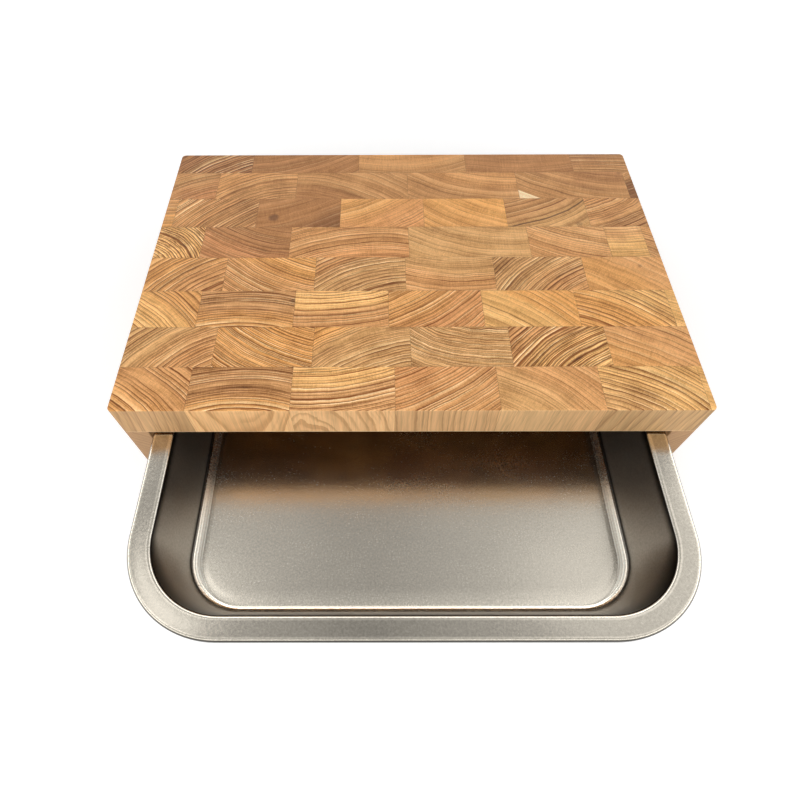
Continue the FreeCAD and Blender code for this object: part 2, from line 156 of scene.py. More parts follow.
def new_piece(name, points, faces, body, slot, material, smooth_angle=35):
    """A mesh object that rides on a body, smooth except across sharp edges."""
    mesh = bpy.data.meshes.new(name)
    mesh.from_pydata(np.asarray(points, float).tolist(), [], [list(face) for face in faces])
    mesh.validate()
    mesh.materials.append(material)
    mesh.polygons.foreach_set("use_smooth", np.ones(len(mesh.polygons), bool))
    mesh.set_sharp_from_angle(angle=math.radians(smooth_angle))
    mesh.update()
    piece = new_object(name, mesh)
    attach(piece, body)
    return piece


def give(mesh, name, kind, values):
    """Stores a vector or a colour for each point of a mesh as an attribute."""
    attribute = mesh.attributes.new(name, kind, "POINT")
    attribute.data.foreach_set("color" if kind == "FLOAT_COLOR" else "vector",
                               np.asarray(values, np.float32).ravel())


def gather(parts):
    """The points and faces of several meshes as those of one."""
    faces, count = [], 0
    for points, own in parts:
        faces += [[corner + count for corner in face] for face in own]
        count += len(points)
    return np.concatenate([points for points, _ in parts]), faces


def box(name):
    """The lowest and the highest corner of a node."""
    return [np.array(corner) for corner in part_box(name)]


def weld(points, faces):
    """Joins points that lie within a micron and drops the faces that this closes up."""
    keys = np.round(points / 1e-6).astype(np.int64)
    _, first, where = np.unique(keys, axis=0, return_index=True, return_inverse=True)
    where = where.ravel()
    kept = []
    for face in where[faces]:
        corners = [corner for turn, corner in enumerate(face) if corner != face[turn - 1]]
        if len(corners) > 2:
            kept.append(corners)
    return points[first], kept


def grid_box(lines):
    """The six faces of a box, cut at given places along x, y and z, pointing outwards.

    Each face is a grid of two of the three lists of places, at the first or last place of the
    third, and the six grids are welded along their edges.
    """
    points, faces, count = [], [], 0
    for axis in range(3):
        across, up = (axis + 1) % 3, (axis + 2) % 3
        for end in (0, -1):
            first, second = np.meshgrid(lines[across], lines[up], indexing="ij")
            face = np.empty(first.shape + (3,))
            face[..., axis], face[..., across], face[..., up] = lines[axis][end], first, second
            index = np.arange(first.size).reshape(first.shape) + count
            quads = np.stack([index[:-1, :-1], index[1:, :-1], index[1:, 1:], index[:-1, 1:]], -1)
            faces.append(quads.reshape(-1, 4)[:, ::1 if end else -1])
            points.append(face.reshape(-1, 3))
            count += first.size
    return np.concatenate(points), np.concatenate(faces)


def places(low, high, near_low, near_high, step=0.02):
    """Places from low to high: extra ones close to the ends that are rounded, and every step."""
    middle = np.linspace(low, high, max(2, math.ceil((high - low) / step) + 1))
    found = np.concatenate([middle, low + np.asarray(near_low), high - np.asarray(near_high)])
    return np.unique(np.round(found[(found >= low) & (found <= high)], 7))


def ease_box(points, low, high, ease):
    """Rounds every edge of a box: what is further than the ease from the core comes back to it."""
    core = np.clip(points, low + ease, high - ease)
    out = points - core
    reach = np.linalg.norm(out, axis=1, keepdims=True)
    return core + out * np.where(reach > ease, ease / np.maximum(reach, TINY), 1)


def round_slab(points, low, high, corner, top_ease, bottom_ease):
    """Rounds the four uprights of a slab and then its upper and lower outlines.

    In plan, what lies further than the corner radius from the core rectangle comes back to that
    radius.  Then, within an ease of the outline and of a face, what lies outside the quarter
    circle of the ease comes back to it, along the outline's own normal.
    """
    plan = ease_box(points[:, :2], low[:2], high[:2], corner)
    core = np.clip(plan, low[:2] + corner, high[:2] - corner)
    out = plan - core
    reach = np.linalg.norm(out, axis=1)
    normal = out / np.maximum(reach, TINY)[:, None]
    height = points[:, 2]
    for ease, face, inward in ((top_ease, high[2], -1), (bottom_ease, low[2], 1)):
        off_side = ease - (corner - reach)
        off_face = ease - (height - face) * inward
        off = np.hypot(off_side, off_face)
        cut = (off_side > 0) & (off_face > 0) & (off > ease) & (reach > 0)
        shrink = np.where(cut, ease / np.maximum(off, TINY), 1)
        plan = plan - normal * np.where(cut, off_side * (1 - shrink), 0)[:, None]
        height = np.where(cut, face + inward * (ease - off_face * shrink), height)
    return np.column_stack([plan, height])


def bands(index):
    """The faces between each row of points and the next, all the way round."""
    following = np.roll(index, -1, axis=1)
    return np.stack([index[:-1], following[:-1], following[1:], index[1:]], -1)


def turned(profile, centre, steps):
    """A closed solid of revolution: each point of the profile, as radius and height, is carried
    round the upright through the centre; a radius of 0 closes the end."""
    profile = np.asarray(profile, float)
    angle = np.linspace(0, 2 * math.pi, steps, endpoint=False)
    radius, height = profile[:, :1], profile[:, 1:]
    points = np.stack([centre[0] + radius * np.cos(angle), centre[1] + radius * np.sin(angle),
                       np.broadcast_to(centre[2] + height, (len(profile), steps))], -1)
    index = np.arange(len(profile) * steps).reshape(len(profile), steps)
    return weld(points.reshape(-1, 3), bands(index).reshape(-1, 4))


def arc(centre, radius, start, end, steps):
    """Points on a circle in the plane of a profile, between two angles in degrees."""
    angle = np.radians(np.linspace(start, end, steps))
    return np.column_stack([centre[0] + radius * np.cos(angle),
                            centre[1] + radius * np.sin(angle)])


# --- node helpers ------------

def sign(operation, swapped=False):
    """A sign of arithmetic: a method that adds a math node, or a vector math node where its own
    socket is a vector or a colour."""
    def act(self, *others):
        kind = "ShaderNodeMath" if self.socket.type == "VALUE" else "ShaderNodeVectorMath"
        values = (*others, self) if swapped else (self, *others)
        return self.nodes.add(kind, enumerate(values), operation=operation)
    return act


class Value:
    """A node's output, which adds, multiplies and so on with numbers, lists and other outputs.
    In a product of a vector and a number, the vector comes first."""

    def __init__(self, nodes, socket):
        self.nodes, self.socket = nodes, socket

    __add__, __radd__ = sign("ADD"), sign("ADD", swapped=True)
    __sub__, __rsub__ = sign("SUBTRACT"), sign("SUBTRACT", swapped=True)
    __mul__, __truediv__ = sign("MULTIPLY"), sign("DIVIDE")
    __pow__, __abs__ = sign("POWER"), sign("ABSOLUTE")

    def ramp(self, low, high, start, end):
        """One value below the low place and another above the high one, smooth between."""
        return self.nodes.add("ShaderNodeMapRange", enumerate((self, low, high, start, end)),
                              interpolation_type="SMOOTHSTEP")

    def rise(self, low, high):
        return self.ramp(low, high, 0.0, 1.0)

    def fall(self, low, high):
        return 1.0 - self.rise(low, high)

    def length(self):
        return self.nodes.add("ShaderNodeVectorMath", {0: self}, "Value", operation="LENGTH")

    def split(self):
        """The three numbers of a vector or a colour."""
        made = self.nodes.tree.nodes.new("ShaderNodeSeparateXYZ")
        self.nodes.link(self, made.inputs[0])
        return [Value(self.nodes, output) for output in made.outputs]


class Nodes:
    """Short ways to write the nodes of a material or of the world."""

    def __init__(self, owner):
        self.owner = owner
        owner.use_nodes = True
        self.tree = owner.node_tree
        self.tree.nodes.clear()

    def link(self, source, socket):
        """Feeds an input from an output, or sets it to a number, list or colour."""
        if isinstance(source, Value):
            self.tree.links.new(source.socket, socket)
        elif socket.type == "VECTOR" and isinstance(source, float):
            socket.default_value = (source,) * 3
        elif socket.type == "RGBA":
            socket.default_value = (*source, 1.0)
        else:
            socket.default_value = source

    def add(self, kind, inputs=(), out=0, **settings):
        """Adds a node, sets its properties, feeds its inputs and gives one of its outputs."""
        made = self.tree.nodes.new(kind)
        for prop, value in settings.items():
            setattr(made, prop, value)
        for key, source in dict(inputs).items():
            self.link(source, made.inputs[key])
        return Value(self, made.outputs[out])

    def math(self, operation, *values, clamp=False):
        return self.add("ShaderNodeMath", enumerate(values), operation=operation, use_clamp=clamp)

    def combine(self, x, y, z):
        return self.add("ShaderNodeCombineXYZ", enumerate((x, y, z)))

    def noise(self, where, scale, detail=2.0, rough=0.5, out=0):
        return self.add("ShaderNodeTexNoise", {"Vector": where, "Scale": scale, "Detail": detail,
                                               "Roughness": rough}, out)

    def noise_along(self, place, scale, detail):
        """Noise along a single number."""
        return self.add("ShaderNodeTexNoise", {"W": place, "Scale": scale, "Detail": detail},
                        noise_dimensions="1D")

    def mix(self, factor, first, second, blend="MIX"):
        return self.add("ShaderNodeMix", {0: factor, 6: first, 7: second}, 2, data_type="RGBA",
                        blend_type=blend)

    def attribute(self, name, out="Vector"):
        return self.add("ShaderNodeAttribute", (), out, attribute_name=name)

    def place(self):
        return self.add("ShaderNodeTexCoord", (), "Object")

    def normal(self):
        """The three parts of the way that the surface faces."""
        return self.add("ShaderNodeNewGeometry", (), "Normal").split()

    def ray(self, kind):
        return self.add("ShaderNodeLightPath", (), kind)

    def bump(self, height, strength, distance, **under):
        """Relief, on top of another bump's normal where one is given."""
        return self.add("ShaderNodeBump", {"Height": height, "Strength": strength,
                                           "Distance": distance, **under})

    def close(self, kind, shader):
        """Feeds the output of the material or the world."""
        self.link(shader, self.tree.nodes.new(kind).inputs["Surface"])

    def finish(self, color, roughness, **sockets):
        """Ends a material in one shader, and gives the material."""
        inputs = {"Base Color": color, "Roughness": roughness}
        inputs.update((name.replace("_", " "), source) for name, source in sockets.items())
        self.close("ShaderNodeOutputMaterial", self.add("ShaderNodeBsdfPrincipled", inputs))
        return self.owner


def material_nodes(name):
    """The nodes of a new material."""
    return Nodes(bpy.data.materials.new(name))


# --- finishes ------------

# scene-linear colours
KNOT, CRACK, GLUE = (0.16, 0.065, 0.028), (0.12, 0.06, 0.03), (0.10, 0.052, 0.024)
EARLY_WOOD, LATE_SHADE, SAPWOOD = (1.0, 0.71, 0.37), (0.27, 0.15, 0.065), (1.0, 0.73, 0.42)
# the third of these is the colour of a painted highlight along the sides' bottom edge
SIDE_WOOD, SIDE_SHADE, PAINTED_EDGE_HIGHLIGHT = (0.70, 0.475, 0.25), (0.50, 0.36, 0.25), (0.94, 0.74, 0.48)
# the cream of a painted highlight on the bend at the tray's foot
PAINTED_BEND_HIGHLIGHT = (0.98, 0.92, 0.80)
ZINC_WARM, ZINC_COLD = (0.62, 0.60, 0.52), (0.55, 0.58, 0.62)
RUBBER, RUBBER_DUST = (0.018, 0.018, 0.018), (0.040, 0.038, 0.036)
PALE_FLOOR, WHITE = (0.90, 0.90, 0.90), (1.0, 1.0, 1.0)

# plain brightness, before a finish's figures are added to it
END_LEVEL, SIDE_LEVEL, PLANK_LEVEL, STEEL_LEVEL = 1.085, 0.385, 0.80, 0.53
# how much painted shade darkens the board underneath, and the wood's gloss and depth of relief
UNDERSIDE_PAINTED_SHADE, WOOD_GLOSS, WOOD_BUMP_DEPTH = 0.66, 0.28, 0.12 * MM


def ring_figure(nodes, where, pith, along, spacing, wander, seed):
    """Growth rings round a pith, for wood whose grain runs along one axis.

    The distance from the pith, measured square to the grain and pushed about by slow noise,
    divided by the spacing, counts the rings.  Within a ring the tone darkens slowly into late
    wood and ends in a sharp line, and a third as far apart run finer lines.  Gives the distance,
    the slow darkening, the sharp line, the fine lines, the pale early wood, streaks that run along
    the rings and across them, and broad bands of several rings.
    """
    def cycle(turns):
        """How much of its ring is behind a place, and a number of that ring's own."""
        own = nodes.add("ShaderNodeTexWhiteNoise", {"W": nodes.math("FLOOR", turns)},
                        noise_dimensions="1D")
        return nodes.math("FRACT", turns), own

    shifted = where + seed
    slow = nodes.noise(shifted, 22.0, 2.0, 0.5, "Color") - 0.5
    quick = nodes.noise(shifted, 160.0, 2.0, 0.6, "Color") - 0.5
    push = (slow * 0.010 + quick * 0.0014) * wander
    radial = (where - pith + push) * [float(axis != along) for axis in range(3)]
    distance = radial.length()
    first, second = [part for axis, part in enumerate(radial.split()) if axis != along]
    arc_length = nodes.math("ARCTAN2", second, first) * 0.15

    turns = distance / spacing
    turns = turns + nodes.noise_along(turns, 0.35, 1.0) * 2.2
    share, own = cycle(turns)
    ending = share.fall(0.94, 1.0)
    late = share.rise(0.35, 0.92) * ending
    line = share.rise(0.78, 0.92) * ending * (own ** 1.5 + 0.30)
    fine_share, fine_own = cycle(turns * 3.13 + 7.3)
    fine = fine_share.rise(0.4, 0.85) * fine_share.fall(0.88, 1.0) * fine_own
    pale = share.fall(0.02, 0.35) * own.rise(0.15, 0.75)
    # each of the three is strong in some patches and faint in others
    patches = nodes.noise(shifted + (5.0, 2.0, 9.0), 30.0, 2.0, 0.5, "Color").split()
    line, fine, pale = (mark * (patch.rise(0.36, 0.64) * gain + least)
                        for mark, patch, least, gain in ((line, patches[0], 0.40, 1.05),
                                                         (fine, patches[1], 0.20, 1.25),
                                                         (pale, patches[2], 0.40, 0.85)))
    return SimpleNamespace(
        distance=distance, late=late, line=line, fine=fine, pale=pale,
        bands=nodes.noise_along(distance * 95.0, 1.0, 2.0),
        along=nodes.noise(nodes.combine(distance * 640.0, arc_length * 40.0, 0.0), 1.0, 2.0, 0.6),
        across=nodes.noise(nodes.combine(distance * 50.0, arc_length * 1100.0, 3.0), 1.0, 2.0,
                           0.6))


def side_grain(nodes, where, tone, rings, share, height):
    """A block's long-grain sides: the same rings cut along the grain, paler, with streaks that
    run up and a painted highlight along the edge at the board's underside."""
    streaks = nodes.noise(where * (620.0, 620.0, 22.0), 1.0, 3.0, 0.75)
    broad = nodes.noise(where * (120.0, 120.0, 12.0), 1.0, 2.0, 0.5)
    pale = nodes.mix(0.62, tone, SIDE_WOOD)
    lined = nodes.mix(rings * 0.55, pale, nodes.mix(1.0, pale, SIDE_SHADE, "MULTIPLY"))
    # a painted highlight along the sides' bottom edge
    painted_edge = height.fall(0.5 * MM, 1.1 * MM)
    return nodes.mix(painted_edge * 0.65, lined * ((streaks + broad * 0.40 + SIDE_LEVEL) * share),
                     PAINTED_EDGE_HIGHLIGHT)


def glue_joints(nodes, where, low, high, normal):
    """How much of a glue line is at a place: the lines follow each block's outline and are uneven.
    On a face square to an axis, only the other axis has joints in sight."""
    gaps = [nodes.math("MINIMUM", here - low[axis], high[axis] - here)
            + abs(normal[axis]).rise(0.5, 0.6) for axis, here in enumerate(where.split()[:2])]
    ragged = nodes.noise(where, 420.0, 2.0, 0.6) * (0.22 * MM)
    return (nodes.math("MINIMUM", *gaps) + ragged).fall(0.10 * MM, 0.36 * MM)


def end_grain_material():
    """Oiled end grain on the upper and lower faces of the blocks and long grain on their sides.

    All is read from each block's own attributes: its pith, ring spacing, tones and outline.
    """
    nodes = material_nodes("end_grain_blocks")
    where = nodes.place()
    x, y, z = where.split()
    spacing, strength, wander = nodes.attribute("rings").split()
    second_start, second_width, seed = nodes.attribute("second").split()
    side_share, crack, crack_depth = nodes.attribute("extra").split()
    mark_x, mark_y, mark_size = nodes.attribute("mark").split()
    wedge_width, wedge_depth, mark_depth = nodes.attribute("wedge").split()
    low, high = nodes.attribute("block_low").split(), nodes.attribute("block_high").split()
    normal = nodes.normal()
    shift = nodes.combine(seed, seed * 1.7, seed * 0.6)
    # the grain runs up and leans a little, so a side cut along the rings shows arches
    lean = nodes.combine(z * -0.05 + 0.0048, z * -0.07 + 0.00672, 0.0)
    flat = where * (1.0, 1.0, 0.55) + lean
    rings = ring_figure(nodes, flat, nodes.attribute("pith"), 2, spacing, wander, shift)

    blotch = nodes.noise(flat + shift, 38.0, 3.0, 0.55)
    into_second = (rings.distance - second_start) / second_width + (blotch - 0.5) * 1.6
    tone = nodes.mix(into_second.rise(-0.5, 0.5), nodes.attribute("tone", "Color"),
                     nodes.attribute("second_tone", "Color"))

    # a knot or dark mark
    away = nodes.combine(x - mark_x, y - mark_y, 0.0).length() / mark_size + (blotch - 0.5) * 1.2
    tone = nodes.mix(away.fall(0.35, 1.0) * mark_depth, tone, KNOT)

    # early wood just outside a dark line is the palest; a pale wedge and a crack come last
    end_tone = nodes.mix(nodes.math("MULTIPLY", rings.pale, strength * 0.72, clamp=True), tone,
                         EARLY_WOOD)
    weight = nodes.math("MULTIPLY", rings.late * 0.48 + rings.line * 1.60 + rings.fine * 0.72,
                        strength, clamp=True)
    end_tone = nodes.mix(weight, end_tone, nodes.mix(1.0, tone, LATE_SHADE, "MULTIPLY"))
    past_wedge = (x - low[0]) / wedge_width + (y - low[1]) / wedge_depth
    end_tone = nodes.mix(past_wedge.fall(0.92, 1.05) * 0.85, end_tone, SAPWOOD)
    opened = abs(rings.distance - crack).fall(0.3 * MM, 1.2 * MM)
    end_tone = nodes.mix(opened * crack_depth, end_tone, CRACK)

    # pores, the fine marks that the sander leaves, and streaks across and with the rings
    pores = nodes.noise(where * (1.0, 1.0, 0.08), 1500.0, 2.0, 0.6)
    sanding = nodes.noise(where * (760.0, 60.0, 20.0), 1.0, 1.0, 0.5)
    level = END_LEVEL
    for figure, amount in ((pores, 1.00), (sanding, 0.25), (rings.across, 0.55), (blotch, 0.72),
                           (rings.bands, 0.72), (rings.along, strength * 1.40 + 0.50)):
        level = (figure - 0.5) * amount + level
    # painted shade darkens the faces that look down
    level = level - normal[2].rise(-0.4, -0.8) * UNDERSIDE_PAINTED_SHADE
    # darker places are a little redder and deeper in colour
    end_tone = end_tone * nodes.combine(level ** 0.82 * 1.005, level * 1.02,
                                        level ** 1.30 * 1.015)

    side_tone = side_grain(nodes, where, tone, weight, side_share, z - low[2])
    tone = nodes.mix(abs(normal[2]).fall(0.35, 0.75), end_tone, side_tone)
    joint = glue_joints(nodes, where, low, high, normal)
    tone = nodes.mix(joint * 0.55, tone, GLUE)
    relief = pores * 0.35 - (weight * 0.35 + joint)
    rough = (pores - 0.5) * 0.22 + 0.56 - weight * 0.08
    return nodes.finish(tone, rough, Normal=nodes.bump(relief, 0.35, WOOD_BUMP_DEPTH),
                        Specular_IOR_Level=WOOD_GLOSS)


def plank_material(name, along, pith, spacing, tone, late_tone, strength, seed):
    """A solid plank: rings round a pith outside it, streaks along the grain, darker end grain."""
    nodes = material_nodes(name)
    where = nodes.place()

    def stretched(with_grain, across):
        return [with_grain if axis == along else across for axis in range(3)]

    squeeze = stretched(0.10, 1.0)
    centre = [place * share for place, share in zip(pith, squeeze)]
    rings = ring_figure(nodes, where * squeeze, centre, along, spacing, 0.8, (seed,) * 3)
    weight = nodes.math("MULTIPLY", rings.late * 0.5 + rings.line * 0.6 + rings.fine * 0.4,
                        strength, clamp=True)
    streaks = nodes.noise(where * stretched(22.0, 900.0), 1.0, 3.0, 0.6)
    broad = nodes.noise(where * stretched(6.0, 110.0), 1.0, 2.0, 0.5)
    end_face = abs(nodes.normal()[along]).rise(0.6, 0.8)
    level = (streaks * 0.22 + broad * 0.18 + PLANK_LEVEL) * (1.0 - end_face * 0.16)
    color = nodes.mix(weight, linear(tone), linear(late_tone)) * level
    relief = streaks * 0.4 - weight * 0.5
    return nodes.finish(color, streaks * 0.18 + 0.44,
                        Normal=nodes.bump(relief, 0.30, WOOD_BUMP_DEPTH),
                        Specular_IOR_Level=WOOD_GLOSS)


def steel_material():
    """Satin stainless steel: a fine speckle, slow waves of the pressed sheet, faint smears and
    specks of dust.

    Painted shade darkens the wall, most of all under the rim and in the corners, and darkens the
    crease at its foot and the hem.  Painted highlights brighten the lip, the roll and the last of
    the bend at the foot, the last with fine lines along it, and painted shading marks a groove
    where the floor begins.
    """
    looks = bpy.context.scene.tray_looks
    base, rim = looks.steel_color, looks.rim_width
    foot = rim + looks.wall_lean
    (_, front, bottom), (_, _, top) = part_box("tray")
    nodes = material_nodes("satin_steel")
    where = nodes.place()
    speckle = nodes.noise(where, 600.0, 3.0, 0.85)
    mottle = nodes.noise(where, 170.0, 3.0, 0.6)
    smear = nodes.noise(where * (14.0, 34.0, 24.0), 1.0, 4.0, 0.65)
    wave = nodes.noise(where, 16.0, 1.0, 0.4)
    _, y, height = where.split()
    facing = abs(nodes.normal()[2])
    dust = nodes.add("ShaderNodeTexVoronoi", {"Vector": where, "Scale": 110.0})
    dust = dust.fall(0.04, 0.07) * smear.rise(0.52, 0.66)

    # how far in from the rim's edge, how much in a corner, and how much at the front (+) or back
    inset, corner, end = nodes.attribute("drawn").split()
    ahead = nodes.math("MAXIMUM", end, 0.0)
    hollow = height.fall(top - 6 * MM, top - 2 * MM)
    above = 1.0 - hollow
    wall = inset.rise(rim - 4 * MM, rim - 3 * MM) * facing.fall(0.62, 0.88)
    # the wall's painted shade under the rim reaches further down at the front and in the corners
    reach = ahead * 0.015 + corner * 0.013 + 0.007
    shade = ((top - 0.8 * MM - height) / reach).rise(0.0, 1.0) * 0.44 - 0.94
    # painted shade in the crease at the wall's foot, except at the front
    crease = (height.fall(bottom + 4.5 * MM, bottom + 7 * MM) * facing.rise(0.22, 0.45)
              * facing.fall(0.86, 0.90) * (1.0 - ahead))
    # painted shade darkens the hem, and painted highlights brighten the roll and the lip
    hem = inset.fall(2 * MM, 3 * MM) * facing.fall(0.60, 0.93)
    roll = inset.fall(2.4 * MM, 3.4 * MM) * facing.rise(0.90, 0.97)
    lip = inset.rise(rim - 3.6 * MM, rim - 2.6 * MM) * facing.rise(0.82, 0.92) * above
    # the painted highlight on the bend is nearer to the wall at the front, and ends where the
    # groove begins
    past = inset - foot + ahead * 0.0017
    beyond = past - (abs(end) * -0.003 + 0.0078)
    band = past.rise(0.6 * MM, 1.6 * MM) * beyond.fall(-0.6 * MM, 0.2 * MM) * hollow
    # painted shading along the groove: darker, but a little brighter at the front
    groove = beyond.rise(-0.4 * MM, 0.4 * MM) * beyond.fall(0.6 * MM, 1.6 * MM) * hollow
    # a painted highlight on the floor just past the groove, at the front
    glow = beyond.rise(0.4 * MM, 1.6 * MM) * beyond.fall(1.6 * MM, 16 * MM) * ahead
    # the painted highlight dies away towards the back of the tray, where the board shades it, and
    # is brightest at the front
    band = band * (y.rise(front + 0.105, front + 0.150) * -0.85 + 1.0)
    wall = wall * (1.0 - band * ahead)
    lines = nodes.math("SINE", inset * 3100.0)

    # painted shade and painted highlights scale the brightness through their masks; the rim is
    # about a fifth darker
    level = speckle * 0.80 + smear * 0.14 + STEEL_LEVEL
    for mask, amount in ((wall, shade), (crease, -0.78), (hem, -0.90), (roll, 0.45), (lip, 0.40),
                         (groove, ahead * 0.30 - 0.22), (glow, 0.28), (above, -0.19),
                         (band, lines * 0.10)):
        level = level * (mask * amount + 1.0)
    # the bend's painted highlight is cream, and takes some of the metal away below
    steel = nodes.mix(band, base, PAINTED_BEND_HIGHLIGHT)
    # the wall's painted shade also cools its colour a little
    steel = nodes.mix(wall, steel, (base[0] * 0.94, base[1] * 0.96, base[2] * 1.04))
    rough = (speckle * 0.20 + smear * 0.14 + 0.02 + hollow * 0.05 + dust * 0.45 + wall * 0.14
             + band * (ahead * -0.24 + 0.12))
    waves = nodes.bump(wave, 0.20, 1.5 * MM)
    drawn = nodes.bump(lines * band * (ahead * -0.85 + 1.0), 1.0, 0.06 * MM, Normal=waves)
    grain = nodes.bump(speckle + dust + mottle * 1.5, 0.40, 0.09 * MM, Normal=drawn)
    return nodes.finish(steel * level, rough, Normal=grain,
                        Metallic=1.0 - band * (ahead * -0.12 + 0.20))


def zinc_material():
    """Bright zinc plate with a slight yellow and blue cast."""
    nodes = material_nodes("zinc_plate")
    cloud = nodes.noise(nodes.place(), 300.0, 2.0, 0.5)
    return nodes.finish(nodes.mix(cloud, ZINC_WARM, ZINC_COLD), cloud * 0.15 + 0.25, Metallic=1.0)


def rubber_material():
    """Black moulded rubber with a fine matt grain."""
    nodes = material_nodes("foot_rubber")
    grain = nodes.noise(nodes.place(), 2600.0, 2.0, 0.6)
    dust = nodes.noise(nodes.place(), 120.0, 3.0, 0.6)
    return nodes.finish(nodes.mix(dust, RUBBER, RUBBER_DUST), grain * 0.25 + 0.62,
                        Normal=nodes.bump(grain, 0.4, 0.1 * MM))


# --- settings ------------

def number_prop(name, description, default, **more):
    """A setting that isn't negative."""
    return bpy.props.FloatProperty(name=name, description=description, default=default,
                                   **{"min": 0, **more})


def length_prop(name, description, default, **more):
    """A setting in metres."""
    return number_prop(name, description, default, unit="LENGTH", **more)


def angle_prop(name, description, degrees):
    """A setting that is an angle, and may be negative."""
    return bpy.props.FloatProperty(name=name, description=description, subtype="ANGLE",
                                   default=math.radians(degrees))


def list_prop(name, description, default, **more):
    """A setting of two or three numbers."""
    return bpy.props.FloatVectorProperty(name=name, description=description, default=default,
                                         size=len(default), **more)


def color_prop(name, description, default, subtype="COLOR_GAMMA"):
    """A setting that is a colour, in sRGB unless it is said to be scene-linear."""
    return list_prop(name, description, default, min=0, max=1, subtype=subtype)


class BoardLooks(bpy.types.PropertyGroup):
    """Sizes and finish of the glued-up board."""
    corner_radius: length_prop("Corner Radius", "Radius of the board's upright corners", 4 * MM)
    top_ease: length_prop("Top Ease", "Rounding round the work surface", 1 * MM)
    bottom_ease: length_prop("Bottom Ease", "Rounding round the board's underside", 0.5 * MM)


class CarcassLooks(bpy.types.PropertyGroup):
    """Finish of the panels, runners and feet under the board."""
    panel_ease: length_prop("Panel Ease", "Rounding of the panels' edges", 0.6 * MM)
    panel_tone: color_prop("Panel Tone", "Early wood of the panels", (0.80, 0.630, 0.455))
    panel_late_tone: color_prop("Panel Late Tone", "Late wood of the panels", (0.63, 0.45, 0.30))
    foot_edge: length_prop("Foot Edge", "Rounding round the tread of a foot", 1 * MM)


class TrayLooks(bpy.types.PropertyGroup):
    """Bends and finish of the steel tray; its outer size is the frame's."""
    rim_radius: length_prop("Rim Radius", "Radius of the rim's corners in plan", 72 * MM)
    rim_width: length_prop("Rim Width", "From the hem to where the wall turns down", 16.3 * MM)
    wall_lean: length_prop("Wall Lean", "How far the wall comes in down to the floor", 13.7 * MM)
    floor_radius: length_prop("Floor Radius", "Radius of the floor's corners in plan", 44 * MM)
    sheet: length_prop("Sheet", "Thickness of the steel sheet", 0.8 * MM, min=0.1 * MM)
    steel_color: color_prop("Steel Color", "Colour of the bare steel", (0.66, 0.610, 0.520),
                            "COLOR")


class StudioLooks(bpy.types.PropertyGroup):
    """Camera, lamps and floor."""
    camera_place: list_prop("Camera Place", "Where the camera stands",
                            (-0.0233, -0.2923, 0.4355), subtype="TRANSLATION")
    camera_pitch: angle_prop("Camera Pitch", "How far the camera looks down", 59.335)
    camera_yaw: angle_prop("Camera Yaw", "How far the camera is turned to the right", -0.270)
    camera_roll: angle_prop("Camera Roll", "How far the camera is rolled clockwise", 0.342)
    camera_shift: list_prop("Camera Shift", "Shift of the picture, in parts of its width",
                            (0.0266, 0.0327))
    lens: number_prop("Lens", "Focal length on a 36 mm sensor", 24.61, min=1, unit="CAMERA")
    side_power: number_prop("Side Power", "Power of each side softbox", 0.55, unit="POWER")
    top_power: number_prop("Top Power", "Power of the large softbox over the front", 11.0,
                           unit="POWER")
    sky_level: number_prop("Sky Level", "Strength of the light from all round", 0.48)
    ceiling_level: number_prop("Ceiling Level", "Light of the ceiling, in what shines", 0.60)
    line_level: number_prop("Line Level", "Extra light of a line all round, in what shines", 2.2)
    strip_level: number_prop("Strip Level", "What a strip overhead keeps of the ceiling's light",
                             0.62, max=1, subtype="FACTOR")


# --- operators ------------

def block_span(rows):
    """Lowest and highest corner of the whole board, from its rows' boxes."""
    boxes = [box(f"board_row_{number}") for number in range(1, rows + 1)]
    return (np.min([low for low, _ in boxes], axis=0), np.max([high for _, high in boxes], axis=0))


def finish_node(name, material):
    """Gives a node of the frame its finish."""
    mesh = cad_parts[name].data
    mesh.materials.clear()
    mesh.materials.append(material)


# how far in from a rounded end a box is cut: all the way round a corner, or only an edge's ease
CLOSE = np.array([0.15, 0.35, 0.6, 1.0, 1.5, 2.0, 2.6, 3.2, 3.6, 4.0]) * MM
NEAR = CLOSE[:3]
# up to how many degrees the board's and the tray's edges are shaded smooth
BOARD_SMOOTH, TRAY_SMOOTH = 60, 40


